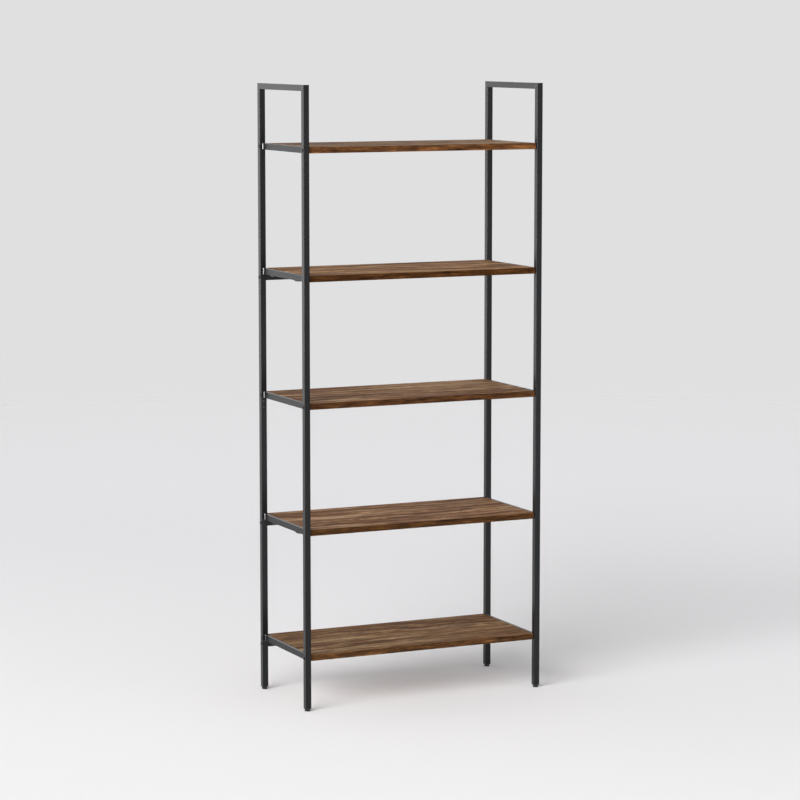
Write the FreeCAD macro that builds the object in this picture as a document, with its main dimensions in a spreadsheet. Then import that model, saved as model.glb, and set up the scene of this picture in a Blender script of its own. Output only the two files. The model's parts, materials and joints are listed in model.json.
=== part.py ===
import FreeCAD, Part
import math
import os
import re

import Sketcher
from FreeCAD import Placement, Rotation, Vector

# Ladder bookcase, in millimetres: two welded tube side frames carry five boards and three rear rails.
# X runs along the shelves, Y from front to back and Z up. The origin is on the floor under the middle.

SHELF_LEVELS = (1, 2, 3, 4, 5)  # counted from the floor
BOLTED_LEVELS = (1, 3, 5)       # boards bolted through the posts
TABBED_LEVELS = (2, 4)          # boards screwed down on tabs under the side rails
REAR_RAIL_LEVELS = (1, 2, 4)    # boards with a rail under their back edge
SPLICE_LEVEL = 3                # the posts are joined just under this board
SIDES = {"left": -1, "right": 1}
ENDS = {"front": -1, "back": 1}

DIMENSIONS = {
    # The frame as a whole
    "overall_width": 774,         # over the outer faces of the posts
    "overall_depth": 345,         # over the front and back faces of the posts
    "first_shelf_height": 149,    # floor to the underside of the lowest board
    "shelf_pitch": 371,           # board to board
    "top_rise": 178,              # top board's surface to the top of the frame
    # Square tube of the posts, top bars and rear rails
    "tube_size": 18,
    "tube_wall": 1.2,
    "tube_corner": 1.5,
    # Flat tube of the side rails, flush with the inner faces of the posts
    "rail_width": 8,
    "rail_height": 18,
    "rail_wall": 1,
    "rail_corner": 1,
    # Boards
    "shelf_thickness": 18,
    "shelf_front_recess": 5,      # behind the front faces of the posts
    "shelf_back_recess": 1,
    "shelf_end_gap": 1,           # to the inner faces of the posts
    "shelf_edge_round": 0.8,
    # Splice between the upper and lower posts
    "joint_drop": 19,             # under the middle board
    "slip_fit": 0.1,              # round a block inside a tube
    "thread_clearance": 0.05,     # round a screw or stem in its hole
    "coupler_reach": 19,          # into each post
    "coupler_chamfer": 1,
    "splice_screw_offset": 9,     # above and below the joint
    "splice_screw_diameter": 4,
    "splice_screw_length": 8,
    "splice_head_diameter": 7.5,
    "splice_head_height": 2.2,
    "splice_head_bevel": 0.8,
    "splice_socket": 2.5,
    "splice_socket_depth": 1.3,
    # Bolts through the posts, and what they screw into
    "bolt_setback": 11,           # from the outward face of the post
    "bolt_diameter": 5,
    "bolt_hole_clearance": 0.2,
    "bolt_head_diameter": 9.5,
    "bolt_head_height": 2.7,
    "bolt_head_bevel": 1.1,
    "bolt_socket": 3,
    "bolt_socket_depth": 1.6,
    "bolt_tip_gap": 3,            # thread left free beyond the tip
    "sleeve_diameter": 7,
    "sleeve_length": 14,
    "rail_plug_length": 15,
    # Tabs welded under the side rails, with their wood screws
    "tab_thickness": 2,
    "tab_width": 24,
    "tab_reach": 34,              # inwards from the rail
    "tab_corner": 4,
    "tab_spacing": 180,            # front tab to back tab
    "tab_screw_inset": 20,
    "tab_screw_diameter": 4,
    "tab_screw_length": 13,
    "tab_screw_head_diameter": 8,
    "tab_screw_head_height": 2.2,
    "tab_screw_head_bevel": 0.9,
    # Levelling feet, screwed fully in
    "pad_diameter": 16.5,
    "pad_height": 4,
    "pad_bevel": 0.8,
    "pivot_diameter": 7,
    "pivot_length": 2.4,
    "foot_clearance": 0.1,        # between the pad and the stem that turns in it
    "hex_size": 14,               # across the flats
    "hex_height": 2.5,
    "foot_gap": 0.5,              # hex to plug
    "stem_diameter": 8,
    "stem_reach": 24,             # above the hex
    "stem_chamfer": 1,
    "plug_flange": 1.5,
    "plug_length": 26,            # up inside the post
}

# Heights and places that several pieces share, as expressions on the sheet
HEX_BASE = "(pad_height + foot_clearance)"
PLUG_BASE = f"({HEX_BASE} + hex_height + foot_gap)"
POST_BASE = f"({PLUG_BASE} + plug_flange)"
TUBE_BORE = "(tube_size - 2 * tube_wall)"
BLOCK_SIZE = f"({TUBE_BORE} - 2 * slip_fit)"
INNER_FACE = "(overall_width / 2 - tube_size)"
SHELF_END = f"({INNER_FACE} - shelf_end_gap)"
BOLT_HOLE = "(bolt_diameter + 2 * bolt_hole_clearance)"
BOLT_THREAD = "(bolt_diameter + 2 * thread_clearance)"
SPLICE_HOLE = "(splice_screw_diameter + 2 * thread_clearance)"
TAB_HOLE = "(tab_screw_diameter + 2 * thread_clearance)"


def underside(level):
    """Height of the underside of the board at a level."""
    return f"(first_shelf_height + {level - 1} * shelf_pitch)"


SPLICE = f"({underside(SPLICE_LEVEL)} - joint_drop)"
FRAME_TOP = f"({underside(SHELF_LEVELS[-1])} + shelf_thickness + top_rise)"

document = FreeCAD.newDocument("ladder_bookcase")
sheet = document.addObject("Spreadsheet::Sheet", "Dimensions")
sheet.Label = "dims"
for row, (alias, number) in enumerate(DIMENSIONS.items(), start=1):
    sheet.set(f"A{row}", alias)
    sheet.set(f"B{row}", str(number))
    sheet.setAlias(f"B{row}", alias)
document.recompute()
pieces = []


def bind(thing, path, expression):
    """Bind a property to an expression whose words are aliases of the sheet."""
    thing.setExpression(path, re.sub(r"[a-z_]{3,}", r"<<dims>>.\g<0>", expression))


def origin_feature(body, role):
    """Plane or axis of a body's own origin."""
    return next(feature for feature in body.Origin.OriginFeatures if feature.Role == role)


def new_piece(label):
    """Empty body that becomes one file."""
    body = document.addObject("PartDesign::Body", label)
    body.Label = label
    pieces.append(body)
    return body


def place(body, x="0", y="0", z="0", axis=Vector(0, 0, 1), angle=0):
    """Turn a body and tie its place to the sheet."""
    body.Placement = Placement(Vector(), Rotation(axis, angle))
    for name, expression in (("x", x), ("y", y), ("z", z)):
        bind(body, f"Placement.Base.{name}", expression)


def new_sketch(body, plane, x="0", y="0", z="0"):
    """Sketch on an origin plane, moved by x and y in the plane and by z along its normal."""
    sketch = body.newObject("Sketcher::SketchObject", "Sketch")
    sketch.AttachmentSupport = (origin_feature(body, plane), [""])
    sketch.MapMode = "FlatFace"
    for name, expression in (("x", x), ("y", y), ("z", z)):
        bind(sketch, f"AttachmentOffset.Base.{name}", expression)
    return sketch


def polygon(sketch, corners):
    """Closed outline through corners given as pairs of expressions."""
    count = len(corners)
    for index in range(count):
        turns = [2 * math.pi * (index + step) / count for step in (0, 1)]
        start, end = (Vector(math.cos(turn), math.sin(turn), 0) for turn in turns)
        sketch.addGeometry(Part.LineSegment(start, end), False)
    for index in range(count):
        sketch.addConstraint(Sketcher.Constraint("Coincident", index, 2, (index + 1) % count, 1))
    for index, corner in enumerate(corners):
        for kind, expression in zip(("DistanceX", "DistanceY"), corner):
            number = sketch.addConstraint(Sketcher.Constraint(kind, -1, 1, index, 1, 1.0))
            sketch.renameConstraint(number, f"{kind}{index}")
            bind(sketch, f"Constraints.{kind}{index}", expression)
    return sketch


def rectangle(sketch, width, height):
    """Rectangle about the sketch's origin."""
    signs = ((-1, -1), (1, -1), (1, 1), (-1, 1))
    return polygon(sketch, [(f"{right} * {width} / 2", f"{up} * {height} / 2") for right, up in signs])


def hexagon(sketch, across_flats):
    """Regular hexagon about the sketch's origin, with a corner on its x axis."""
    turns = [math.radians(60 * corner) for corner in range(6)]
    radius = f"{across_flats} / {math.sqrt(3)}"
    return polygon(sketch, [(f"{math.cos(turn)} * {radius}", f"{math.sin(turn)} * {radius}") for turn in turns])


def circle(sketch, diameter):
    """Circle about the sketch's origin."""
    sketch.addGeometry(Part.Circle(Vector(), Vector(0, 0, 1), 1), False)
    sketch.addConstraint(Sketcher.Constraint("Coincident", 0, 3, -1, 1))
    number = sketch.addConstraint(Sketcher.Constraint("Diameter", 0, 2.0))
    sketch.renameConstraint(number, "Diameter")
    bind(sketch, "Constraints.Diameter", diameter)
    return sketch


def pad(body, sketch, length, downwards=False):
    """Solid between a sketch and its copy along its normal."""
    feature = body.newObject("PartDesign::Pad", "Pad")
    feature.Profile = sketch
    feature.Reversed = downwards
    bind(feature, "Length", length)
    document.recompute()
    return feature


def pocket(body, sketch, depth=None, both_ways=False, along=1):
    """Cut along a sketch's normal or against it, through everything where no depth is given."""
    before = body.Shape.Volume
    feature = body.newObject("PartDesign::Pocket", "Pocket")
    feature.Profile = sketch
    feature.Reversed = along > 0
    if both_ways:
        feature.SideType = "Symmetric"
    if depth is None:
        feature.Type = "ThroughAll"
    else:
        bind(feature, "Length", depth)
    document.recompute()
    if not body.Shape.Volume < before:
        raise RuntimeError(f"{body.Label}: a pocket cuts nothing")


def revolve(body, sketch, axis):
    """Full turn of a sketch about one of its own axes."""
    feature = body.newObject("PartDesign::Revolution", "Revolution")
    feature.Profile = sketch
    feature.ReferenceAxis = (sketch, [axis])
    document.recompute()
    return feature


def edges_along(feature, direction):
    """Names of a feature's straight edges that run along a direction."""
    names = []
    for number, edge in enumerate(feature.Shape.Edges, start=1):
        span = edge.Vertexes[-1].Point - edge.Vertexes[0].Point
        if isinstance(edge.Curve, Part.Line) and span.cross(direction).Length < 1e-6 * span.Length:
            names.append(f"Edge{number}")
    return names


def ease(body, kind, base, edges, path, size):
    """Fillet or Chamfer on named edges of a feature."""
    feature = body.newObject(f"PartDesign::{kind}", kind)
    feature.Base = (base, edges)
    bind(feature, path, size)
    document.recompute()
    return feature


def mirror(body, plane):
    """Second copy of the whole body across an origin plane."""
    feature = body.newObject("PartDesign::Mirrored", "Mirrored")
    feature.TransformMode = "Whole shape"
    feature.MirrorPlane = (origin_feature(body, plane), [""])
    body.Tip = feature
    document.recompute()


def repeat_upwards(body, length, count):
    """Copies of the whole body, spread evenly over a height."""
    feature = body.newObject("PartDesign::LinearPattern", "LinearPattern")
    feature.TransformMode = "Whole shape"
    feature.Direction = (origin_feature(body, "Z_Axis"), [""])
    feature.Occurrences = count
    bind(feature, "Length", length)
    body.Tip = feature
    document.recompute()


def tube(label, width, height, wall, corner, length):
    """Rectangular tube along its own Z axis, with rounded outer edges."""
    body = new_piece(label)
    bar = pad(body, rectangle(new_sketch(body, "XY_Plane"), width, height), length)
    ease(body, "Fillet", bar, edges_along(bar, Vector(0, 0, 1)), "Radius", corner)
    bore = rectangle(new_sketch(body, "XY_Plane"), f"({width} - 2 * {wall})", f"({height} - 2 * {wall})")
    pocket(body, bore)
    return body


def mitre(body, height, upwards):
    """Slanted end: full length on the tube's -Y side, one tube size shorter on its +Y side."""
    corners = [
        ("-tube_size / 2", "0"),
        ("3 * tube_size / 2", "0"),
        ("3 * tube_size / 2", f"{upwards} * 2 * tube_size"),
    ]
    pocket(body, polygon(new_sketch(body, "YZ_Plane", y=height), corners), both_ways=True)


def cross_hole(body, y, z, diameter):
    """Hole along X through both walls of an upright tube."""
    pocket(body, circle(new_sketch(body, "YZ_Plane", x=y, y=z), diameter), both_ways=True)


def facing_hole(body, face, z, diameter, depth):
    """Hole from the +Y face of an upright piece."""
    pocket(body, circle(new_sketch(body, "XZ_Plane", y=z, z=f"-{face}"), diameter), depth)


def stand(body, side, end, z):
    """Put an upright piece at a corner, with its -Y face outwards."""
    x = f"{SIDES[side]} * (overall_width - tube_size) / 2"
    y = f"{ENDS[end]} * (overall_depth - tube_size) / 2"
    place(body, x, y, z, angle=180 if end == "back" else 0)


def fixing_holes(body, end, base, levels):
    """Holes in a post for the board bolts and, at the back, for the rear rail bolts."""
    for level in levels:
        if level in BOLTED_LEVELS:
            height = f"{underside(level)} + shelf_thickness / 2 - {base}"
            cross_hole(body, "bolt_setback - tube_size / 2", height, BOLT_HOLE)
        if level in REAR_RAIL_LEVELS and end == "back":
            cross_hole(body, "0", f"{underside(level)} - tube_size / 2 - {base}", BOLT_HOLE)


def lower_post(side, end):
    """Post from the foot to the splice."""
    length = f"({SPLICE} - {POST_BASE})"
    body = tube(f"lower_post_{side}_{end}", "tube_size", "tube_size", "tube_wall", "tube_corner", length)
    fixing_holes(body, end, POST_BASE, [level for level in SHELF_LEVELS if level < SPLICE_LEVEL])
    facing_hole(body, "tube_size / 2", f"{length} - splice_screw_offset", SPLICE_HOLE, "2 * tube_wall")
    stand(body, side, end, POST_BASE)


def upper_post(side, end):
    """Post from the splice to the mitred corner."""
    length = f"({FRAME_TOP} - {SPLICE})"
    body = tube(f"upper_post_{side}_{end}", "tube_size", "tube_size", "tube_wall", "tube_corner", length)
    mitre(body, length, upwards=-1)
    fixing_holes(body, end, SPLICE, [level for level in SHELF_LEVELS if level >= SPLICE_LEVEL])
    facing_hole(body, "tube_size / 2", "splice_screw_offset", SPLICE_HOLE, "2 * tube_wall")
    stand(body, side, end, SPLICE)


def coupler(side, end):
    """Block inside the two halves of a post."""
    body = new_piece(f"post_coupler_{side}_{end}")
    block = pad(body, rectangle(new_sketch(body, "XY_Plane"), BLOCK_SIZE, BLOCK_SIZE), "2 * coupler_reach")
    ease(body, "Chamfer", block, edges_along(block, Vector(0, 0, 1)), "Size", "coupler_chamfer")
    for way in (-1, 1):
        height = f"coupler_reach + {way} * splice_screw_offset"
        facing_hole(body, f"{BLOCK_SIZE} / 2", height, SPLICE_HOLE, "splice_screw_length")
    stand(body, side, end, f"{SPLICE} - coupler_reach")


def top_bar(side):
    """Bar between the tops of the posts, mitred at both ends."""
    body = tube(f"top_bar_{side}", "tube_size", "tube_size", "tube_wall", "tube_corner", "overall_depth")
    mitre(body, "0", upwards=1)
    mitre(body, "overall_depth", upwards=-1)
    x = f"{SIDES[side]} * (overall_width - tube_size) / 2"
    place(body, x, "-overall_depth / 2", f"{FRAME_TOP} - tube_size / 2", Vector(1, 0, 0), -90)


def side_rail(side, level):
    """Rung between the posts at the end of a board."""
    length = "(overall_depth - 2 * tube_size)"
    body = tube(f"side_rail_{side}_{level}", "rail_width", "rail_height", "rail_wall", "rail_corner", length)
    x = f"{SIDES[side]} * ({INNER_FACE} + rail_width / 2)"
    place(body, x, f"-{length} / 2", f"{underside(level)} + rail_height / 2", Vector(1, 0, 0), -90)


def rear_rail(level):
    """Rail between the back posts, under a board."""
    length = f"(2 * {INNER_FACE})"
    body = tube(f"rear_rail_{level}", "tube_size", "tube_size", "tube_wall", "tube_corner", length)
    y = "(overall_depth - tube_size) / 2"
    place(body, f"-{INNER_FACE}", y, f"{underside(level)} - tube_size / 2", Vector(0, 1, 0), 90)


def shelf(level):
    """Board with eased edges, with holes for its sleeves or its wood screws."""
    body = new_piece(f"shelf_{level}")
    depth = "(overall_depth - shelf_front_recess - shelf_back_recess)"
    middle = "(shelf_front_recess - shelf_back_recess) / 2"
    outline = rectangle(new_sketch(body, "XY_Plane", y=middle), f"2 * {SHELF_END}", depth)
    board = pad(body, outline, "shelf_thickness")
    edges = [f"Edge{number}" for number in range(1, len(board.Shape.Edges) + 1)]
    ease(body, "Fillet", board, edges, "Radius", "shelf_edge_round")
    for right in SIDES.values():
        for back in ENDS.values():
            if level in BOLTED_LEVELS:
                y = f"{back} * (overall_depth / 2 - bolt_setback)"
                hole = new_sketch(body, "YZ_Plane", y, "shelf_thickness / 2", f"{right} * {SHELF_END}")
                pocket(body, circle(hole, "sleeve_diameter"), "sleeve_length", along=-right)
            if level in TABBED_LEVELS:
                x = f"{right} * ({INNER_FACE} - tab_screw_inset)"
                hole = new_sketch(body, "XY_Plane", x, f"{back} * tab_spacing / 2")
                pocket(body, circle(hole, TAB_HOLE), "tab_screw_length - tab_thickness")
    place(body, z=underside(level))


def fastener_profile(length, diameter, head_diameter, head_height, bevel):
    """Half outline along x: shank from 0 to the length, bevelled head on the other side of 0."""
    return [
        (length, "0"),
        (length, f"{diameter} / 2"),
        ("0", f"{diameter} / 2"),
        ("0", f"{head_diameter} / 2"),
        (f"{bevel} - {head_height}", f"{head_diameter} / 2"),
        (f"-{head_height}", f"{head_diameter} / 2 - {bevel}"),
        (f"-{head_height}", "0"),
    ]


def post_bolts(label, y, length, z):
    """Two bolts along X, heads on the outer faces of the left and right posts."""
    body = new_piece(label)
    outer_face = "overall_width / 2"
    profile = new_sketch(body, "XZ_Plane", x=f"-{outer_face}", z=f"-({y})")
    outline = fastener_profile(length, "bolt_diameter", "bolt_head_diameter", "bolt_head_height", "bolt_head_bevel")
    revolve(body, polygon(profile, outline), "H_Axis")
    socket = new_sketch(body, "YZ_Plane", x=y, z=f"-{outer_face} - bolt_head_height")
    pocket(body, hexagon(socket, "bolt_socket"), "bolt_socket_depth")
    mirror(body, "YZ_Plane")
    place(body, z=z)
    return body


def board_bolts():
    """Bolts of all the bolted boards, front and back."""
    length = "tube_size + shelf_end_gap + sleeve_length - bolt_tip_gap"
    height = f"{underside(BOLTED_LEVELS[0])} + shelf_thickness / 2"
    body = post_bolts("shelf_bolts", "bolt_setback - overall_depth / 2", length, height)
    mirror(body, "XZ_Plane")
    repeat_upwards(body, "4 * shelf_pitch", len(BOLTED_LEVELS))


def board_sleeves():
    """Threaded sleeves in the ends of the bolted boards."""
    body = new_piece("shelf_sleeves")
    for diameter, bored in (("sleeve_diameter", False), (BOLT_THREAD, True)):
        sketch = new_sketch(body, "YZ_Plane", x="bolt_setback - overall_depth / 2", z=f"-{SHELF_END}")
        circle(sketch, diameter)
        if bored:
            pocket(body, sketch)
        else:
            pad(body, sketch, "sleeve_length")
    mirror(body, "YZ_Plane")
    mirror(body, "XZ_Plane")
    repeat_upwards(body, "4 * shelf_pitch", len(BOLTED_LEVELS))
    place(body, z=f"{underside(BOLTED_LEVELS[0])} + shelf_thickness / 2")


def rail_plugs(level):
    """Threaded blocks in the ends of a rear rail."""
    body = new_piece(f"rear_rail_plugs_{level}")
    y = "(overall_depth - tube_size) / 2"
    section = rectangle(new_sketch(body, "YZ_Plane", x=y, z=f"-{INNER_FACE}"), BLOCK_SIZE, BLOCK_SIZE)
    block = pad(body, section, "rail_plug_length")
    ease(body, "Chamfer", block, edges_along(block, Vector(1, 0, 0)), "Size", "coupler_chamfer")
    pocket(body, circle(new_sketch(body, "YZ_Plane", x=y, z=f"-{INNER_FACE}"), BOLT_THREAD))
    mirror(body, "YZ_Plane")
    place(body, z=f"{underside(level)} - tube_size / 2")


def splice_screws():
    """Screws through the inward faces of the posts into the couplers."""
    body = new_piece("splice_screws")
    x = "-(overall_width - tube_size) / 2"
    face = "(tube_size - overall_depth / 2)"
    outline = fastener_profile(
        "splice_screw_length", "splice_screw_diameter",
        "splice_head_diameter", "splice_head_height", "splice_head_bevel",
    )
    turned = [(f"-({along})", across) for along, across in outline]
    revolve(body, polygon(new_sketch(body, "YZ_Plane", x=face, z=x), turned), "H_Axis")
    socket = new_sketch(body, "XZ_Plane", x=x, z=f"-({face} + splice_head_height)")
    pocket(body, hexagon(socket, "splice_socket"), "splice_socket_depth")
    mirror(body, "YZ_Plane")
    mirror(body, "XZ_Plane")
    repeat_upwards(body, "2 * splice_screw_offset", 2)
    place(body, z=f"{SPLICE} - splice_screw_offset")


def tabs(level):
    """Plates under the side rails that a board lies on."""
    body = new_piece(f"shelf_tabs_{level}")
    middle_x = f"-{INNER_FACE} + (tab_reach - rail_width) / 2"
    outline = new_sketch(body, "XY_Plane", middle_x, "-tab_spacing / 2")
    plate = pad(body, rectangle(outline, "(tab_reach + rail_width)", "tab_width"), "tab_thickness")
    inner_edges = []
    for name in edges_along(plate, Vector(0, 0, 1)):
        if plate.Shape.getElement(name).CenterOfMass.x > plate.Shape.CenterOfMass.x:
            inner_edges.append(name)
    ease(body, "Fillet", plate, inner_edges, "Radius", "tab_corner")
    hole = new_sketch(body, "XY_Plane", f"tab_screw_inset - {INNER_FACE}", "-tab_spacing / 2")
    pocket(body, circle(hole, TAB_HOLE))
    mirror(body, "YZ_Plane")
    mirror(body, "XZ_Plane")
    place(body, z=f"{underside(level)} - tab_thickness")


def tab_screws(level):
    """Wood screws up through the tabs."""
    body = new_piece(f"shelf_tab_screws_{level}")
    outline = fastener_profile(
        "tab_screw_length", "tab_screw_diameter",
        "tab_screw_head_diameter", "tab_screw_head_height", "tab_screw_head_bevel",
    )
    upright = [(across, along) for along, across in outline]
    sketch = new_sketch(body, "XZ_Plane", x=f"tab_screw_inset - {INNER_FACE}", z="tab_spacing / 2")
    revolve(body, polygon(sketch, upright), "V_Axis")
    mirror(body, "YZ_Plane")
    mirror(body, "XZ_Plane")
    place(body, z=f"{underside(level)} - tab_thickness")


def foot_plug(side, end):
    """Threaded plug with a flange, pressed into the bottom of a post."""
    body = new_piece(f"foot_plug_{side}_{end}")
    flange = pad(body, rectangle(new_sketch(body, "XY_Plane"), "tube_size", "tube_size"), "plug_flange")
    ease(body, "Fillet", flange, edges_along(flange, Vector(0, 0, 1)), "Radius", "tube_corner")
    section = rectangle(new_sketch(body, "XY_Plane"), BLOCK_SIZE, BLOCK_SIZE)
    pad(body, section, "plug_flange + plug_length")
    pocket(body, circle(new_sketch(body, "XY_Plane"), "stem_diameter + 2 * thread_clearance"))
    stand(body, side, end, PLUG_BASE)


def foot_pad(side, end):
    """Round glide with a pivot hole for the stem."""
    body = new_piece(f"foot_pad_{side}_{end}")
    hole_radius = "(pivot_diameter / 2 + thread_clearance)"
    outline = [
        ("0", "0"),
        ("pad_diameter / 2 - pad_bevel", "0"),
        ("pad_diameter / 2", "pad_bevel"),
        ("pad_diameter / 2", "pad_height"),
        (hole_radius, "pad_height"),
        (hole_radius, "pad_height - pivot_length"),
        ("0", "pad_height - pivot_length"),
    ]
    revolve(body, polygon(new_sketch(body, "XZ_Plane"), outline), "V_Axis")
    stand(body, side, end, "0")


def foot_stem(side, end):
    """Threaded stem with a hex collar, and a pivot that turns in the pad."""
    body = new_piece(f"foot_stem_{side}_{end}")
    pad(body, hexagon(new_sketch(body, "XY_Plane"), "hex_size"), "hex_height")
    pad(body, circle(new_sketch(body, "XY_Plane"), "pivot_diameter"), "pivot_length", downwards=True)
    shank = pad(body, circle(new_sketch(body, "XY_Plane"), "stem_diameter"), "hex_height + stem_reach")
    top = max(range(len(shank.Shape.Edges)), key=lambda index: shank.Shape.Edges[index].CenterOfMass.z)
    ease(body, "Chamfer", shank, [f"Edge{top + 1}"], "Size", "stem_chamfer")
    stand(body, side, end, HEX_BASE)


for side in SIDES:
    for end in ENDS:
        lower_post(side, end)
        upper_post(side, end)
        coupler(side, end)
        foot_plug(side, end)
        foot_pad(side, end)
        foot_stem(side, end)
    top_bar(side)
    for level in SHELF_LEVELS:
        side_rail(side, level)
for level in SHELF_LEVELS:
    shelf(level)
board_bolts()
board_sleeves()
splice_screws()
for level in TABBED_LEVELS:
    tabs(level)
    tab_screws(level)
for level in REAR_RAIL_LEVELS:
    rear_rail(level)
    rail_plugs(level)
    bolt_length = "tube_size + rail_plug_length - bolt_tip_gap"
    bolt_height = f"{underside(level)} - tube_size / 2"
    post_bolts(f"rear_rail_bolts_{level}", "(overall_depth - tube_size) / 2", bolt_length, bolt_height)
document.recompute()

for thing in document.Objects:
    if "Invalid" in thing.State or "Error" in thing.State:
        raise RuntimeError(f"{thing.Label} is {thing.State}")
os.makedirs("parts", exist_ok=True)
for body in pieces:
    if body.Shape.isNull() or not body.Shape.isValid() or not body.Shape.Solids:
        raise RuntimeError(f"{body.Label} has no good solid")
    body.Shape.exportStep(f"parts/{body.Label}.step")
    box = body.Shape.BoundBox
    print(f"{body.Label}: {len(body.Shape.Solids)} solids, {body.Shape.Volume:.0f} mm3,",
          f"X {box.XMin:.2f}..{box.XMax:.2f}, Y {box.YMin:.2f}..{box.YMax:.2f}, Z {box.ZMin:.2f}..{box.ZMax:.2f}")
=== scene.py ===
# %% [markdown]
# # Ladder bookcase
# Two slim side frames of black tube, ladder rungs, and brown boards that lie between them.
# The solids come ready made from the packed model, in metres, with the origin on the floor under
# the middle. This lesson adds what solids lack: finishes, weld beads, a floor, light and a camera.

# %% Load the packed model
import json
import math
from types import SimpleNamespace

import bmesh
import bpy
import numpy as np
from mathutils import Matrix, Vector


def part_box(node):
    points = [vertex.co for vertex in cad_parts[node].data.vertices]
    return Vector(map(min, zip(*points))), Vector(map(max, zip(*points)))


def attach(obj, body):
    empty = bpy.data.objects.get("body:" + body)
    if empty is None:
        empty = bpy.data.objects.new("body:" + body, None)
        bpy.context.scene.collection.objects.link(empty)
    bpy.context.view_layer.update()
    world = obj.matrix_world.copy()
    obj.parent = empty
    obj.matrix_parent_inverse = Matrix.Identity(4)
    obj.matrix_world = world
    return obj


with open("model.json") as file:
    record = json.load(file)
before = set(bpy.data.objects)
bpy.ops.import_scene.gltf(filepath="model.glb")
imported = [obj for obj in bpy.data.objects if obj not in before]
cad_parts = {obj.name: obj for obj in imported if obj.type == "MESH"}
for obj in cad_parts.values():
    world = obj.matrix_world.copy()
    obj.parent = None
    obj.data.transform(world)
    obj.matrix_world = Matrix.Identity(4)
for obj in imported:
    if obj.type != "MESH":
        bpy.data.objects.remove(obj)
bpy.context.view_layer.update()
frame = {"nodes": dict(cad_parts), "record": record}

# %% [markdown]
# ## Camera
# The photograph was taken from the front left, from a little higher than the tops of the posts, with
# a long lens. A least-squares fit of the posts and boards gave the place, the turn and the lens.
# The camera could stand level with its lens shifted, which keeps posts upright in the picture, but
# the shift would push the object out of every other view, so the camera tips down a little instead.

# %% Camera
CAMERA_PLACE = (-3.7379, -7.9356, 1.9839)
CAMERA_TURN = math.radians(25.218)
CAMERA_TIP = math.radians(7.161)
CAMERA_LENS = 132.45
SENSOR_WIDTH = 36.0

camera_data = bpy.data.cameras.new("camera")
camera_data.lens = CAMERA_LENS
camera_data.sensor_width = SENSOR_WIDTH
camera = bpy.data.objects.new("camera", camera_data)
camera.location = CAMERA_PLACE
camera.rotation_euler = (math.pi / 2 - CAMERA_TIP, 0.0, -CAMERA_TURN)
bpy.context.scene.collection.objects.link(camera)
bpy.context.scene.camera = camera
print("camera lens", CAMERA_LENS, "mm on a sensor of", SENSOR_WIDTH, "mm")

# %% [markdown]
# ## Writing finishes as sums
# A finish is a small calculation that is done at every point of a surface. Blender draws it as a net
# of nodes, which is slow to read. Here one class wraps a node's output, so that Python's own signs
# add the Math nodes, and one method makes every other kind of node.


# %% Values
class Value:
    """One output of a node, on which Python's arithmetic signs add Math nodes."""

    def __init__(self, net, socket):
        self.net = net
        self.socket = socket

    def math(self, operation, first, second):
        """Math node of two values, of which this is one."""
        return self.net.node("ShaderNodeMath", {"operation": operation}, {0: first, 1: second})

    def __add__(self, other):
        return self.math("ADD", self, other)

    def __sub__(self, other):
        return self.math("SUBTRACT", self, other)

    def __rsub__(self, other):
        return self.math("SUBTRACT", other, self)

    def __mul__(self, other):
        return self.math("MULTIPLY", self, other)

    def __truediv__(self, other):
        return self.math("DIVIDE", self, other)

    def __pow__(self, other):
        return self.math("POWER", self, other)

    def __mod__(self, other):
        return self.math("MODULO", self, other)

    __radd__ = __add__
    __rmul__ = __mul__

    def rise(self, low, high):
        """Smooth step from 0 at low to 1 at high, whichever of the two is larger."""
        settings = {"interpolation_type": "SMOOTHSTEP"}
        inputs = {"Value": self, "From Min": low, "From Max": high}
        return self.net.node("ShaderNodeMapRange", settings, inputs)


print("a value knows the signs + - * / ** %")


# %% Colours
def shade(code):
    """Linear colour of a six-digit display colour."""
    parts = np.array([int(code[place:place + 2], 16) for place in (0, 2, 4)]) / 255
    linear = np.where(parts > 0.04045, ((parts + 0.055) / 1.055) ** 2.4, parts / 12.92)
    return tuple(linear.tolist())


def as_colour(value):
    """Colour with its alpha, unless it is already a node's output."""
    return value if isinstance(value, Value) else (*value, 1.0)


print("middle grey is", as_colour(shade("808080")))


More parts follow.
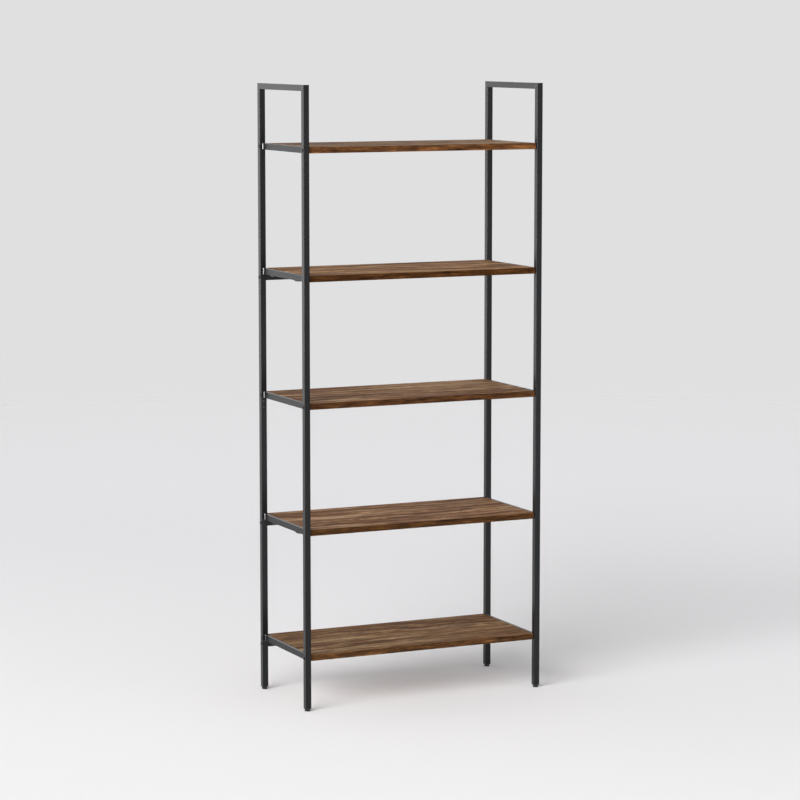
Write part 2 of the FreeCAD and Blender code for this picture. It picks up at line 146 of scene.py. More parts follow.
# %% Nets
class Net:
    """Net of shader nodes."""

    def __init__(self, tree):
        self.tree = tree

    def node(self, kind, settings=None, inputs=None, output=0):
        """Node of a kind: its settings are set first, then the values or links of its inputs."""
        node = self.tree.nodes.new(kind)
        settings = dict(settings or {})
        stops = settings.pop("stops", ())
        for name, value in settings.items():
            setattr(node, name, value)
        for place, _ in stops[2:]:
            node.color_ramp.elements.new(place)
        for index, (place, colour) in enumerate(stops):
            node.color_ramp.elements[index].position = place
            node.color_ramp.elements[index].color = as_colour(colour)
        for key, value in (inputs or {}).items():
            if isinstance(value, Value):
                self.tree.links.new(value.socket, node.inputs[key])
            else:
                node.inputs[key].default_value = value
        return Value(self, node.outputs[output])

    def place(self, output="Object"):
        """Point of the surface in the bookcase's own frame, or its normal, or a direction in the room."""
        return self.node("ShaderNodeTexCoord", output=output)

    def vector(self, operation, first, second, output=0):
        """Vector Math node of two vectors."""
        settings = {"operation": operation}
        return self.node("ShaderNodeVectorMath", settings, {0: first, 1: second}, output)

    def split(self, vector):
        """The three numbers of a vector."""
        inputs = {"Vector": vector}
        return [self.node("ShaderNodeSeparateXYZ", None, inputs, axis) for axis in range(3)]

    def join(self, x, y, z):
        """Vector of three numbers."""
        return self.node("ShaderNodeCombineXYZ", None, {"X": x, "Y": y, "Z": z})

    def noise(self, point, scale, detail=2.0, roughness=0.5, distortion=0.0):
        """Smooth noise about 0.5; scale is about how many lumps go to a metre."""
        inputs = {
            "Vector": point,
            "Scale": scale,
            "Detail": detail,
            "Roughness": roughness,
            "Distortion": distortion,
        }
        return self.node("ShaderNodeTexNoise", None, inputs)

    def grain(self, point, lumps, shift=(0.0, 0.0, 0.0), **look):
        """Noise of a shifted point that is drawn out: lumps says how many go to a metre along each axis."""
        moved = self.vector("ADD", point, shift)
        return self.noise(self.vector("MULTIPLY", moved, lumps), 1.0, **look)

    def mix(self, factor, first, second):
        """Colour between two colours."""
        settings = {"data_type": "RGBA", "clamp_factor": True}
        inputs = {0: factor, 6: as_colour(first), 7: as_colour(second)}
        return self.node("ShaderNodeMix", settings, inputs, 2)

    def ramp(self, value, *stops):
        """Colour from a row of colours, each at its place between 0 and 1."""
        return self.node("ShaderNodeValToRGB", {"stops": stops}, {"Fac": value})


print("a net makes", [name for name in vars(Net) if not name.startswith("_")])


# %% Finishes
class Finish(Net):
    """Material with a Principled shader and the nodes that feed it."""

    def __init__(self, name, **constants):
        self.material = bpy.data.materials.new(name)
        self.material.use_nodes = True
        super().__init__(self.material.node_tree)
        self.shader = self.tree.nodes["Principled BSDF"]
        for socket, value in constants.items():
            self.shader.inputs[socket.replace("_", " ")].default_value = value

    def feed(self, socket, value):
        """Link a value into the shader."""
        self.tree.links.new(value.socket, self.shader.inputs[socket])

    def bump(self, height, distance, strength):
        """Raise the surface by a height map, whose full height is a distance in metres."""
        inputs = {"Height": height, "Distance": distance, "Strength": strength}
        self.feed("Normal", self.node("ShaderNodeBump", None, inputs))


print("a finish adds", [name for name in vars(Finish) if not name.startswith("_")])

# %% [markdown]
# ## Powder coat
# The tubes are sprayed with charcoal powder that melts into a fine, slightly pebbled skin.
# Seen flat it is near black; seen at a low angle it picks up the pale room and looks grey.
# Gloss that varies with angle belongs to the shader itself, so the nodes only add the pebbles,
# a slow drift of tone from the spray gun, and a little dust on what faces up. The rungs look duller
# than the posts, so they wear the same coat with a rougher skin that mirrors less.


# %% Powder coat
def powder_coat(name, smoothest, index):
    """Charcoal with pebbles a millimetre wide, cloudy tone and dusty tops.

    Its roughness is smoothest plus a share of the waves and pebbles, and index says how much it mirrors.
    """
    finish = Finish(name, IOR=index)
    point = finish.place()
    pebbles = finish.noise(point, 900.0, detail=3.0, roughness=0.6)
    waves = finish.noise(point, 160.0)
    clouds = finish.grain(point, (9.0, 9.0, 3.15), detail=3.0)
    specks = finish.noise(point, 2600.0, detail=1.0).rise(0.66, 0.8)
    facing_up = finish.split(finish.place("Normal"))[2].rise(0.6, 0.95)
    tone = clouds * 0.7 + pebbles * 0.3
    charcoal = finish.mix(tone.rise(0.3, 0.7), shade("0b0b0c"), shade("131315"))
    dust = facing_up * waves * 0.25 + specks * 0.10
    finish.feed("Base Color", finish.mix(dust, charcoal, shade("6b6a69")))
    finish.feed("Roughness", smoothest + 0.10 * waves + 0.06 * pebbles)
    finish.bump(pebbles * 0.45 + waves * 0.55, distance=0.00016, strength=0.35)
    return finish.material


coat = powder_coat("powder_coat", smoothest=0.17, index=1.37)
rung_coat = powder_coat("rung_coat", smoothest=0.28, index=1.32)
print("finishes", coat.name, rung_coat.name)

# %% [markdown]
# ## Walnut boards
# Each board is faced with brown walnut: long streaks along X, growth rings that close into arches,
# short flecks, dark lines, dashes and pores, and cloudy changes from grey-brown to red-brown. The
# upright edges take a separate pattern of thin layers and come out darker and redder than the top.
# A picture of wood would be flat on every face, so the grain is worked out as a log instead: rings
# round a tilted axis, cut by the board wherever it happens to lie. Every board is another cut, with a
# contrast and tints of its own.

# %% Rings of the log
RING_WIDTH = 0.025
SWAY_ACROSS = 0.11
SWAY_UP = 0.03
RIPPLE_ACROSS = 0.007
SIDE_SPREAD = 24.0
BOARD_SHIFT = (1.37, 0.61, 3.1)


def log_cut(level, heart_y, heart_drop, tilt):
    """Where a board's points lie in the log.

    The log's axis runs along X at heart_y, heart_drop under the board, and falls by tilt. The distance
    from it is the root of across squared plus up squared, and the rings count it in ring widths; a slow sway
    and a fine ripple bend them. The grain flows along X and round the rings, and its third number grows with
    the distance across, so that the two sides of the heart differ and fine grain stays straight near it.
    Each level shifts the noise by another step, so that no two boards share a pattern.
    """
    finish = Finish(f"walnut_{level}", IOR=1.4, Specular_IOR_Level=0.06)
    underside = float(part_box(f"shelf_{level}")[0][2])
    point = finish.vector("ADD", finish.place(), (0.0, 0.0, -underside))
    x, y, z = finish.split(point)
    shift_x, shift_y, shift_flow = (step * level for step in BOARD_SHIFT)
    own = finish.vector("ADD", point, (shift_x, shift_y, 0.0))
    sway = finish.grain(own, (1.9, 5.0, 5.0)) - 0.5
    ripple = finish.grain(own, (10.0, 34.0, 34.0), detail=3.0, roughness=0.6) - 0.5
    across = y - heart_y + sway * SWAY_ACROSS + ripple * RIPPLE_ACROSS
    up = z + heart_drop + x * tilt + sway * SWAY_UP
    rings = (across * across + up * up) ** 0.5 / RING_WIDTH
    flow = finish.join(x, rings * RING_WIDTH, z + across * SIDE_SPREAD + shift_flow)
    return SimpleNamespace(
        finish=finish, level=level, x=x, y=y, z=z, own=own, sway=sway, ripple=ripple, rings=rings, flow=flow)


print("rings", RING_WIDTH, "m wide")


# %% Grain
def add_grain(wood):
    """Late wood of each ring, as dark as that year's vigour, and the patterns that follow the rings.

    Bands, streaks and flecks shade the ground, from broad to fine. Lines and dashes are dark and narrow.
    Fibres and pores run straight along the board.
    """
    finish, flow, own = wood.finish, wood.flow, wood.own
    year = wood.rings % 1.0
    wood.late_wood = year.rise(0.40, 0.92) - year.rise(0.92, 1.0)
    count = wood.rings - year + wood.level
    wood.vigour = finish.node("ShaderNodeTexWhiteNoise", {"noise_dimensions": "1D"}, {"W": count})
    wood.bands = finish.grain(flow, (2.0, 22.0, 1.5))
    wood.streaks = finish.grain(flow, (5.0, 75.0, 2.0), detail=4.0, roughness=0.66)
    wood.flecks = finish.grain(flow, (15.0, 150.0, 4.5), detail=4.0, roughness=0.66)
    wood.lines = finish.grain(flow, (5.0, 62.0, 2.0), (0.0, 1.9, 0.0)).rise(0.53, 0.61)
    wood.dashes = finish.grain(flow, (24.0, 230.0, 6.0), (0.0, 0.7, 0.0), roughness=0.6).rise(0.54, 0.68)
    wood.fibres = finish.grain(own, (14.0, 520.0, 520.0), detail=3.0, roughness=0.6)
    wood.pores = finish.grain(own, (48.0, 1100.0, 1100.0), detail=1.0).rise(0.62, 0.72)


def tinted(code, tint):
    """Linear colour of a display colour, with each part multiplied."""
    return tuple(part * factor for part, factor in zip(shade(code), tint))


def tinted_ramp(finish, value, colours, tint):
    """Colour from a row of display colours, each at its place, all multiplied by one tint."""
    return finish.ramp(value, *[(place, tinted(code, tint)) for place, code in colours])


print("tinted white is", tinted("ffffff", (0.9, 0.8, 0.7)))

# %% Tops
TOP_COLOURS = ((0.38, "4c2c18"), (0.47, "7d583e"), (0.53, "967153"), (0.63, "c4a487"))
BAND_SHARE = 0.44


def top_colour(wood, contrast, long_share, tint):
    """Ground from bands, streaks and flecks, then red clouds and each darker or paler mark over it."""
    finish = wood.finish
    short_share = 1.0 - BAND_SHARE - long_share
    figure = wood.bands * BAND_SHARE + wood.streaks * long_share + wood.flecks * short_share
    colour = tinted_ramp(finish, (figure - 0.5) * contrast + 0.5, TOP_COLOURS, tint)
    warmth = finish.grain(wood.own, (4.0, 17.0, 17.0)).rise(0.42, 0.66)
    marks = (
        (warmth * 0.22, "7e4a2a"),
        (wood.late_wood * (0.12 + 0.40 * wood.vigour), "4a2a15"),
        (wood.lines * 0.45, "42230f"),
        (wood.dashes * 0.55, "3e2110"),
        (wood.fibres.rise(0.44, 0.72) * 0.28, "ae937b"),
        (wood.pores * 0.65, "2c1b12"),
    )
    for share, code in marks:
        colour = finish.mix(share, colour, tinted(code, tint))
    return colour


print("top colours", len(TOP_COLOURS))

# %% Edge strips
STRIP_COLOURS = ((0.30, "2c190d"), (0.44, "54361f"), (0.56, "704727"), (0.72, "946439"))
STRIP_RING = 0.0065
STRIP_START = 4.0
STRIP_WAVER = 0.012
STRIP_SHIFT = 1.7
# Heights of the dark lines at the top and bottom of each edge: part glue line, part painted shade.
UPPER_GLUE_AND_SHADE = (0.0164, 0.0174)
LOWER_GLUE_AND_SHADE = (0.0016, 0.0006)


def strip_colour(wood, tint):
    """Thin layers along an edge, with their late wood, a dark line at each face that is part glue line and
    part painted shade, pores and dashes.
    """
    finish = wood.finish
    layer = wood.z + (wood.ripple + wood.sway) * STRIP_WAVER
    year = (layer / STRIP_RING + STRIP_START) % 1.0
    late_wood = year.rise(0.3, 0.9) - year.rise(0.9, 1.0)
    flow = finish.join(wood.x + wood.y, layer, STRIP_SHIFT * wood.level)
    tone = finish.grain(flow, (16.0, 130.0, 1.0), detail=4.0, roughness=0.65)
    strip = tinted_ramp(finish, tone, STRIP_COLOURS, tint)
    # Dark lines where the edge meets the top and the underside: glue lines, with painted shade laid into
    # them.
    glue_and_shade_lines = wood.z.rise(*UPPER_GLUE_AND_SHADE) + wood.z.rise(*LOWER_GLUE_AND_SHADE)
    dark = late_wood * 0.35 + glue_and_shade_lines * 0.4 + wood.pores * 0.4 + wood.dashes * 0.25
    return finish.mix(dark, strip, tinted("26150c", tint))


print("strip colours", len(STRIP_COLOURS))

# %% Boards
WALNUT_CUTS = {
    1: dict(heart_y=0.03, heart_drop=0.040, tilt=0.060, contrast=1.50, long_share=0.16,
            top_tint=(0.71, 0.71, 0.59), edge_tint=(0.62, 0.69, 0.73)),
    2: dict(heart_y=-0.05, heart_drop=0.050, tilt=-0.060, contrast=1.50, long_share=0.16,
            top_tint=(0.83, 0.79, 0.70), edge_tint=(0.42, 0.45, 0.43)),
    3: dict(heart_y=-0.06, heart_drop=0.055, tilt=0.080, contrast=2.00, long_share=0.24,
            top_tint=(0.79, 0.77, 0.66), edge_tint=(0.47, 0.48, 0.48)),
    4: dict(heart_y=-0.02, heart_drop=0.045, tilt=-0.070, contrast=2.00, long_share=0.24,
            top_tint=(0.88, 0.80, 0.61), edge_tint=(0.38, 0.36, 0.27)),
    5: dict(heart_y=0.04, heart_drop=0.040, tilt=0.050, contrast=2.00, long_share=0.26,
            top_tint=(0.69, 0.71, 0.66), edge_tint=(0.70, 0.70, 0.70)),
}


def walnut(level, heart_y, heart_drop, tilt, contrast, long_share, top_tint, edge_tint):
    """Finish of one board: what lies flat is a cut of the log, and what stands upright is a strip."""
    wood = log_cut(level, heart_y, heart_drop, tilt)
    add_grain(wood)
    finish = wood.finish
    facing_up = finish.split(finish.place("Normal"))[2]
    upright = (facing_up * facing_up).rise(0.75, 0.35)
    top = top_colour(wood, contrast, long_share, top_tint)
    finish.feed("Base Color", finish.mix(upright, top, strip_colour(wood, edge_tint)))
    finish.feed("Roughness", 0.64 + 0.16 * wood.streaks + 0.14 * wood.pores - 0.08 * wood.late_wood)
    relief = wood.fibres * 0.4 + wood.streaks * 0.3 - wood.pores * 0.6 - wood.late_wood * 0.15
    finish.bump(relief, distance=0.00030, strength=0.6)
    return finish.material


boards = {level: walnut(level, **cut) for level, cut in WALNUT_CUTS.items()}
print("boards", [finish.name for finish in boards.values()])

# %% [markdown]
# ## Small metal, plastic and rubber
# Bolts, screws and foot stems are black oxide, oily and a little uneven. The sleeves in the boards, the
# blocks in the posts and the plugs in the rear rails are zinc plated, with a faint crystal pattern.
# The plugs in the feet of the posts are moulded plastic with a spark-eroded skin, and the pads are
# rubber, dull and a little scuffed. A plain colour would almost do at this size, but gloss without any
# unevenness looks like a drawing, so fine noise breaks it up.


# %% Black oxide
def black_oxide():
    """Dark steel whose gloss is smeared by oil."""
    finish = Finish("black_oxide", Metallic=0.75, IOR=1.8)
    point = finish.place()
    smears = finish.noise(point, 420.0, detail=4.0, roughness=0.6, distortion=0.8)
    tool_marks = finish.grain(point, (300.0, 2600.0, 2600.0))
    finish.feed("Base Color", finish.mix(smears.rise(0.35, 0.7), shade("1b1b1d"), shade("38373a")))
    finish.feed("Roughness", 0.16 + 0.20 * smears)
    finish.bump(tool_marks, distance=0.00006, strength=0.5)
    return finish.material


small_finishes = {"black_fastener": black_oxide()}
print("finish", small_finishes["black_fastener"].name)


# %% Zinc plate
def bright_zinc():
    """Bright plate with crystals two millimetres wide and fine drawing lines."""
    finish = Finish("bright_zinc", Metallic=1.0)
    point = finish.place()
    settings = {"feature": "SMOOTH_F1"}
    crystals = finish.node("ShaderNodeTexVoronoi", settings, {"Vector": point, "Scale": 520.0})
    lines = finish.grain(point, (2200.0, 2200.0, 180.0))
    finish.feed("Base Color", finish.mix(crystals.rise(0.2, 0.7), shade("b9bbbd"), shade("d6d7d4")))
    finish.feed("Roughness", 0.24 + 0.16 * lines + 0.10 * crystals)
    finish.bump(lines * 0.6 + crystals * 0.4, distance=0.00005, strength=0.4)
    return finish.material


small_finishes["zinc_steel"] = bright_zinc()
print("finish", small_finishes["zinc_steel"].name)


# %% Moulded plastic
def moulded_plastic():
    """Black moulding with a spark-eroded skin."""
    finish = Finish("moulded_plastic", IOR=1.5)
    point = finish.place()
    skin = finish.noise(point, 2400.0, roughness=0.6)
    flow = finish.noise(point, 240.0, distortion=1.2)
    finish.feed("Base Color", finish.mix(flow.rise(0.3, 0.7), shade("131314"), shade("222223")))
    finish.feed("Roughness", 0.44 + 0.20 * skin)
    finish.bump(skin, distance=0.00008, strength=0.5)
    return finish.material


small_finishes["black_plastic"] = moulded_plastic()
print("finish", small_finishes["black_plastic"].name)


# %% Rubber
def foot_rubber():
    """Dull black rubber, greyer where it is scuffed."""
    finish = Finish("foot_rubber", IOR=1.5)
    point = finish.place()
    grit = finish.noise(point, 1800.0, detail=3.0, roughness=0.65)
    scuffs = finish.grain(point, (260.0, 260.0, 1300.0), detail=3.0, roughness=0.6).rise(0.55, 0.75)
    finish.feed("Base Color", finish.mix(scuffs * 0.5, shade("161616"), shade("3a3938")))
    finish.feed("Roughness", 0.66 + 0.20 * grit)
    finish.bump(grit, distance=0.00012, strength=0.6)
    return finish.material


small_finishes["foot_rubber"] = foot_rubber()
print("finish", small_finishes["foot_rubber"].name)

# %% [markdown]
# ## Dressing the solids
# The record says which slot every solid takes its finish from, so one loop dresses them all.
# Boards are the exception: each one is a different cut of the log. Rungs share a slot with the posts
# but wear their duller coat.

# %% Dress every node
node_slots = {entry["node"]: entry["material_slot"] for entry in frame["record"]["subparts"]}


def finish_of(node):
    """Finish for a node, from its slot or, for a board, from its level."""
    slot = node_slots[node]
    if slot == "wood_board":
        return boards[int(node.split("_")[1])]
    return small_finishes.get(slot, rung_coat if node.startswith("side_rail") else coat)


for node, thing in frame["nodes"].items():
    thing.data.materials.clear()
    thing.data.materials.append(finish_of(node))
print("dressed", len(frame["nodes"]))

# %% [markdown]
# ## Weld beads
# Each rung is welded to its posts along the bottom, the outer side and the top; the inner side is
# ground flush so that the board can slide in. A bead could be a bevelled curve, but then it would be
# round. Here it is a real fillet: a small wedge in the corner between two faces, carried along the
# joint, with the ripples that the torch leaves. Paint pools over a bead and dries to a glossier skin.


# %% Weld paint
def pooled_coat():
    """The same charcoal where it pools over a bead: thicker, smoother and glossier."""
    finish = Finish("pooled_coat", IOR=1.6)
    point = finish.place()
    pebbles = finish.noise(point, 700.0)
    clouds = finish.noise(point, 60.0, detail=3.0)
    finish.feed("Base Color", finish.mix(clouds.rise(0.3, 0.7), shade("121213"), shade("1c1c1e")))
    finish.feed("Roughness", 0.10 + 0.08 * pebbles)
    finish.bump(pebbles, distance=0.00004, strength=0.3)
    return finish.material


weld_coat = pooled_coat()
print("finish", weld_coat.name)

# %% Mesh of closed tubes
MERGE_DISTANCE = 1e-7


def facing_out(grid):
    """The grid, turned the other way round if its faces look inwards.

    A closed surface that faces outwards holds a positive volume, which is the sum over its triangles
    of a x b . c / 6.
    """
    local = grid - grid.mean(axis=(0, 1))
    beside = np.roll(local, -1, axis=1)
    first = np.cross(local[:-1], beside[:-1]) * beside[1:]
    second = np.cross(local[:-1], beside[1:]) * local[1:]
    return grid if (first + second).sum() > 0 else grid[:, ::-1]


def tidy_mesh(mesh):
    """Merge the points that close each end and shade the faces smooth."""
    work = bmesh.new()
    work.from_mesh(mesh)
    bmesh.ops.remove_doubles(work, verts=work.verts, dist=MERGE_DISTANCE)
    bmesh.ops.dissolve_degenerate(work, edges=work.edges, dist=MERGE_DISTANCE)
    work.to_mesh(mesh)
    work.free()
    mesh.shade_smooth()


def add_mesh(name, grids, body, finish):
    """One object from closed tubes: each grid is (along, around, xyz), and its ends are points."""
    points, faces, start = [], [], 0
    for grid in grids:
        along, around = grid.shape[:2]
        row, column = np.meshgrid(np.arange(along - 1), np.arange(around), indexing="ij")
        here = row * around + column
        beside = row * around + (column + 1) % around
        corners = (here, beside, beside + around, here + around)
        points.append(facing_out(grid).reshape(-1, 3))
        faces.append(np.stack(corners, -1).reshape(-1, 4) + start)
        start += along * around
    mesh = bpy.data.meshes.new(name)
    mesh.from_pydata(np.concatenate(points).tolist(), [], np.concatenate(faces).tolist())
    mesh.materials.append(finish)
    piece = bpy.data.objects.new(name, mesh)
    bpy.context.scene.collection.objects.link(piece)
    tidy_mesh(mesh)
    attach(piece, body)
    print(name, "triangles", 2 * len(mesh.polygons))


print("points closer than", MERGE_DISTANCE, "m are merged")

# %% Bead along a corner
BEAD_POINTS = 9
BEAD_POWER = 1.8
BEAD_SINK = 0.18
RIPPLE_LENGTH = 0.0030
RIPPLE_DEPTH = 0.03
RIPPLE_BEND = 0.4


def bead(path, side_a, side_b, leg, phase):
    """Fillet weld: at each path point, a superellipse quarter between two directions, its corner sunk in.

    A point is path + swell * (cos(t) ** BEAD_POWER * side_a + sin(t) ** BEAD_POWER * side_b). Swell is the
    leg, rounded down to 0 at both ends, and wavers by RIPPLE_DEPTH once in each RIPPLE_LENGTH travelled.
    The crest of a ripple bends with t. The corner lies BEAD_SINK of the swell behind the path.
    """
    steps = np.linalg.norm(np.diff(path, axis=0), axis=1)
    travelled = np.concatenate([[0.0], np.cumsum(steps)])[:, None]
    turn = np.linspace(0.0, math.pi / 2, BEAD_POINTS)[None, :]
    ends = np.clip(np.minimum(travelled, travelled[-1] - travelled) / leg, 0.0, 1.0)
    crest = travelled - RIPPLE_BEND * RIPPLE_LENGTH * np.sin(2 * turn)
    wave = np.sin(2 * math.pi * crest / RIPPLE_LENGTH + phase)
    swell = leg * np.sqrt(ends * (2 - ends)) * (1 - RIPPLE_DEPTH + RIPPLE_DEPTH * wave)
    reach_a = (swell * np.cos(turn) ** BEAD_POWER)[..., None]
    reach_b = (swell * np.sin(turn) ** BEAD_POWER)[..., None]
    curve = path[:, None] + reach_a * side_a[:, None] + reach_b * side_b[:, None]
    sunk = path - BEAD_SINK * swell[:, :1] * (side_a + side_b)
    return np.concatenate([curve, sunk[:, None]], axis=1)


def corners_of(node):
    """Lowest and highest corner of a node, as arrays."""
    return [np.array(corner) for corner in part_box(node)]


def everywhere(direction, path):
    """One direction, repeated at every point of a path."""
    return np.repeat([direction], len(path), axis=0)


print("a bead has", BEAD_POINTS + 1, "points round it")

# %% Rung outline
RUNG_CORNER = 0.001
FLAT_POINTS = 24
TURN_POINTS = 7


def rung_outline(width, height):
    """Bottom, outer side and top of a rung's section, as places and outward normals in (x, z).

    Half of it runs along the bottom, round a corner and half way up the side; the rest is its mirror image.
    """
    turn = np.linspace(0.0, math.pi / 2, TURN_POINTS)
    run = np.linspace(0.0, 1.0, FLAT_POINTS)[:, None]
    flat = RUNG_CORNER - width
    half_way = FLAT_POINTS // 2
    bottom = run * [flat, 0.0]
    corner = np.stack([flat - RUNG_CORNER * np.sin(turn), RUNG_CORNER - RUNG_CORNER * np.cos(turn)], -1)
    side = (1 - run) * [-width, RUNG_CORNER] + run * [-width, height - RUNG_CORNER]
    half = np.concatenate([bottom, corner, side[:half_way]])
    normals = np.concatenate([
        np.repeat([[0.0, -1.0]], FLAT_POINTS, axis=0),
        np.stack([-np.sin(turn), -np.cos(turn)], -1),
        np.repeat([[-1.0, 0.0]], half_way, axis=0),
    ])
    mirror = np.array([1.0, -1.0])
    places = np.concatenate([half, np.array([0.0, height]) + half[::-1] * mirror])
    return places, np.concatenate([normals, normals[::-1] * mirror])


print("a rung's outline has", 2 * (FLAT_POINTS + TURN_POINTS + FLAT_POINTS // 2), "points")

# %% Rung joints
WELD_SEED = 11
RUNG_LEG = 0.0028

draw = np.random.default_rng(WELD_SEED)
rung_beads = []
for side, left in (("left", 1.0), ("right", -1.0)):
    for level in boards:
        low, high = corners_of(f"side_rail_{side}_{level}")
        places, normals = rung_outline(high[0] - low[0], high[2] - low[2])
        inner_face = high[0] if side == "left" else low[0]
        x = inner_face + left * places[:, 0]
        z = low[2] + places[:, 1]
        away = np.stack([left * normals[:, 0], np.zeros(len(x)), normals[:, 1]], -1)
        for face, inwards in ((low[1], 1.0), (high[1], -1.0)):
            path = np.stack([x, np.full(len(x), face), z], -1)
            along = everywhere((0.0, inwards, 0.0), path)
            rung_beads.append(bead(path, away, along, RUNG_LEG, draw.uniform(0, math.pi)))
add_mesh("rung_welds", rung_beads, "bookcase", weld_coat)

# %% [markdown]
# ## Top corners and tabs
# The bar across the top meets each post on a mitre. Its seam is ground nearly flat on the sides and
# left as a small fillet inside the corner. The tabs that carry two of the boards are held to the rungs
# by short beads at both their edges. A ground seam is a low ellipse; the bead function makes the rest.

# %% Mitre seams
SEAM_WIDTH = 0.0016
SEAM_HEIGHT = 0.00022
SEAM_INSET = 0.0009
SEAM_TAPER = 8
SEAM_WAVER = 0.1
SEAM_WAVES = 60
SEAM_POINTS = 40
SEAM_AROUND = 12


def seam(start, end, outwards):
    """Ground seam on a flat face: an ellipse, half of it sunk, carried along the line from start to end.

    Its size falls to 0 over the first and last one in SEAM_TAPER of the line, and wavers a little between.
    """
    run = np.linspace(0.0, 1.0, SEAM_POINTS)[:, None]
    path = (1 - run) * start + run * end
    across = np.cross(end - start, outwards)
    across = across / np.linalg.norm(across)
    turn = np.linspace(0.0, 2 * math.pi, SEAM_AROUND, endpoint=False)
    ends = np.sqrt(np.clip(SEAM_TAPER * np.minimum(run, 1 - run), 0.0, 1.0))
    swell = ends * (1 - SEAM_WAVER + SEAM_WAVER * np.sin(SEAM_WAVES * run))
    wide = SEAM_WIDTH * swell * np.cos(turn)
    tall = SEAM_HEIGHT * swell * np.sin(turn)
    return path[:, None] + wide[..., None] * across + tall[..., None] * outwards


def along_x(run, y, z):
    """Points at the places of run along X, all at one y and one z."""
    return np.stack([run, np.full(len(run), y), np.full(len(run), z)], -1)


print("seams", SEAM_WIDTH, "m to each side of the line")

# %% Top corners
CORNER_LEG = 0.0013
CORNER_INSET = 0.0012

corner_beads = []
for side in ("left", "right"):
    low, high = corners_of(f"top_bar_{side}")
    size = high[2] - low[2]
    for face, inwards in ((low[1], 1.0), (high[1], -1.0)):
        for x, outwards in ((low[0], -1.0), (high[0], 1.0)):
            outer = np.array([x, face + inwards * SEAM_INSET, high[2] - SEAM_INSET])
            inner = np.array([x, face + inwards * (size - SEAM_INSET), low[2] + SEAM_INSET])
            corner_beads.append(seam(outer, inner, np.array([outwards, 0.0, 0.0])))
        run = np.linspace(low[0] + CORNER_INSET, high[0] - CORNER_INSET, SEAM_POINTS)
        path = along_x(run, face + inwards * size, low[2])
        down = everywhere((0.0, 0.0, -1.0), path)
        along = everywhere((0.0, inwards, 0.0), path)
        corner_beads.append(bead(path, down, along, CORNER_LEG, draw.uniform(0, math.pi)))
add_mesh("corner_welds", corner_beads, "bookcase", weld_coat)

# %% Tabs
TAB_WIDTH = 0.024
TAB_LEG = 0.0018
TAB_INSET = 0.0004
TAB_POINTS = 24

tab_beads = []
for level in (2, 4):
    tab_low, tab_high = corners_of(f"shelf_tabs_{level}")
    rail_low, rail_high = corners_of(f"side_rail_left_{level}")
    front, back = tab_low[1], tab_high[1]
    edges = ((front, -1.0), (front + TAB_WIDTH, 1.0), (back - TAB_WIDTH, -1.0), (back, 1.0))
    for left in (-1.0, 1.0):
        run = left * np.linspace(-rail_high[0] + TAB_INSET, -rail_low[0] - TAB_INSET, TAB_POINTS)
        for edge, outwards in edges:
            path = along_x(run, edge, tab_high[2])
            away = everywhere((0.0, outwards, 0.0), path)
            down = everywhere((0.0, 0.0, -1.0), path)
            tab_beads.append(bead(path, away, down, TAB_LEG, draw.uniform(0, math.pi)))
add_mesh("tab_welds", tab_beads, "bookcase", weld_coat)

# %% [markdown]
# ## Floor
# The bookcase stands on a pale, seamless studio floor with painted light that makes it a little lighter in
# front on the left.
# A curved backdrop could be modelled, but a flat sheet that thins out into the room's own tone looks
# the same from every side.

# %% Floor
FLOOR_HALF = 12.0
# Direction in which the painted shade on the floor deepens.
PAINTED_SHADE_TOWARDS = (0.833175, 0.712965, 0.0)


def studio_floor():
    """Pale grey with painted light, lightest in front on the left and darker to the back right, that thins
    out to nothing four to nine metres away.
    """
    finish = Finish("studio_floor", Roughness=1.0, Specular_IOR_Level=0.0)
    point = finish.place()
    # Painted light and shade: the colour grows lighter towards the front left and darker towards the back
    # right, with a random mottle.
    to_painted_shade = finish.vector("DOT_PRODUCT", point, PAINTED_SHADE_TOWARDS, "Value")
    mottle = finish.noise(point, 1.3)
    painted_light_with_mottle = (to_painted_shade + mottle * 0.2).rise(2.6, -1.9)
    finish.feed("Base Color", finish.mix(painted_light_with_mottle, shade("e3e2e4"), shade("f5f4f5")))
    finish.feed("Alpha", finish.vector("LENGTH", point, point, "Value").rise(9.0, 4.0))
    return finish.material


floor_mesh = bpy.data.meshes.new("floor")
floor_signs = ((-1, -1), (1, -1), (1, 1), (-1, 1))
floor_corners = [(x * FLOOR_HALF, y * FLOOR_HALF, 0.0) for x, y in floor_signs]
floor_mesh.from_pydata(floor_corners, [], [(0, 1, 2, 3)])
floor_mesh.materials.append(studio_floor())
floor = bpy.data.objects.new("floor", floor_mesh)
bpy.context.scene.collection.objects.link(floor)
print("floor", 2 * FLOOR_HALF, "m")

# %% [markdown]
# ## Lamps
# Light falls softly from the left and a little from the front. A lamp near by would fade across such a
# wide floor, so each one is a broad sun that lights everything evenly. The key throws the long shadow.
# The strip lies level with the floor and lights only what stands upright. The rim comes from behind on
# the left, and a faint lamp at the back draws a thin light line along the tops of the rungs.


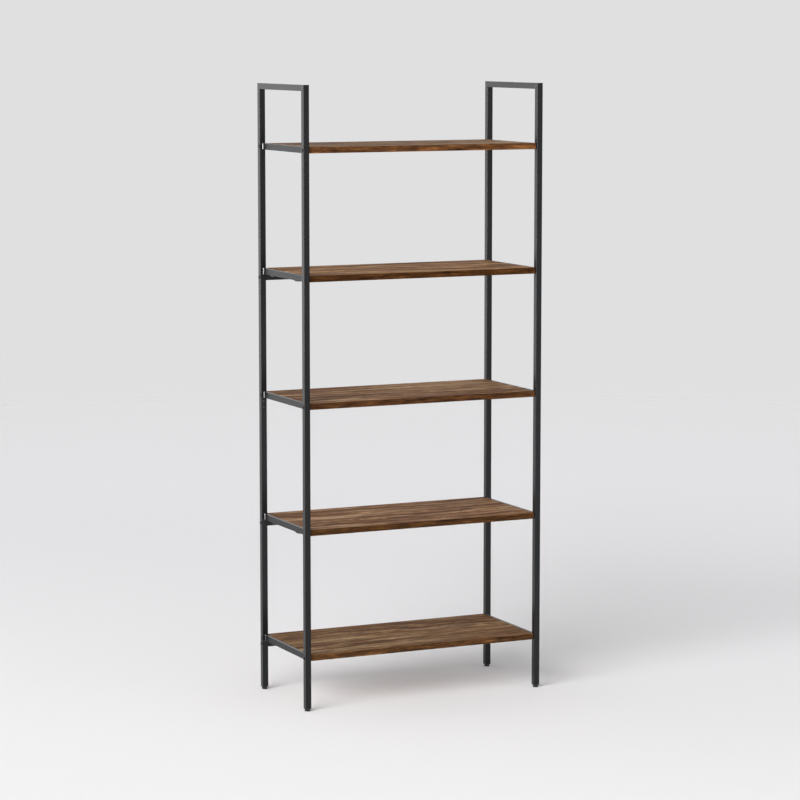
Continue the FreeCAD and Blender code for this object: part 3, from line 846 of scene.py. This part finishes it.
# %% Lamps
def add_sun(name, heading, strength, width):
    """Sun lamp that shines from a heading, as wide in the sky as an angle in degrees."""
    data = bpy.data.lights.new(name, "SUN")
    data.energy = strength
    data.angle = math.radians(width)
    lamp = bpy.data.objects.new(name, data)
    x, y, z = heading
    lamp.rotation_euler = (math.atan2(math.hypot(x, y), z), 0.0, math.atan2(x, -y))
    bpy.context.scene.collection.objects.link(lamp)
    print(name, strength)


add_sun("key", heading=(-0.806, -0.484, 0.342), strength=4.1, width=50)
add_sun("strip", heading=(-0.908, -0.418, 0.0), strength=1.6, width=22)
add_sun("rim", heading=(-0.44, 0.90, 0.06), strength=0.62, width=60)
add_sun("back", heading=(0.41, 0.89, 0.20), strength=0.10, width=24)

# %% [markdown]
# ## Room
# The room fills the shadows: its walls glow most on the left in front, and least overhead. What the
# camera sees behind the bookcase, and what shows in gloss or through glass, is an even pale backdrop
# in the floor's far tone, so that the brightness of the walls never has to match it.

# %% Room
LIT_HEADING = (-0.80, -0.60, 0.0)
BACKDROP = "e0e0e1"

world = bpy.data.worlds.new("studio")
bpy.context.scene.world = world
world.use_nodes = True
room = Net(world.node_tree)
direction = room.place("Generated")
lit_side = room.vector("DOT_PRODUCT", direction, LIT_HEADING, "Value").rise(-0.95, 0.35)
height = room.split(direction)[2]
walls = 1.0 - height.rise(0.0, 0.8)
upper_walls = height.rise(0.05, 0.25) - height.rise(0.45, 0.80)
glow = 0.10 + lit_side * (0.15 + 1.20 * walls) + 0.75 * upper_walls
room_light = room.node("ShaderNodeBackground", None, {"Strength": glow})
backdrop = room.node("ShaderNodeBackground", None, {"Color": as_colour(shade(BACKDROP))})
rays = ("Is Camera Ray", "Is Glossy Ray", "Is Transmission Ray")
seen = sum(room.node("ShaderNodeLightPath", output=ray) for ray in rays)
shown = room.node("ShaderNodeMixShader", None, {0: seen, 1: room_light, 2: backdrop})
room.tree.links.new(shown.socket, room.tree.nodes["World Output"].inputs["Surface"])
bpy.context.scene.view_settings.view_transform = "Standard"
print("world", world.name)

# %% [markdown] ## End
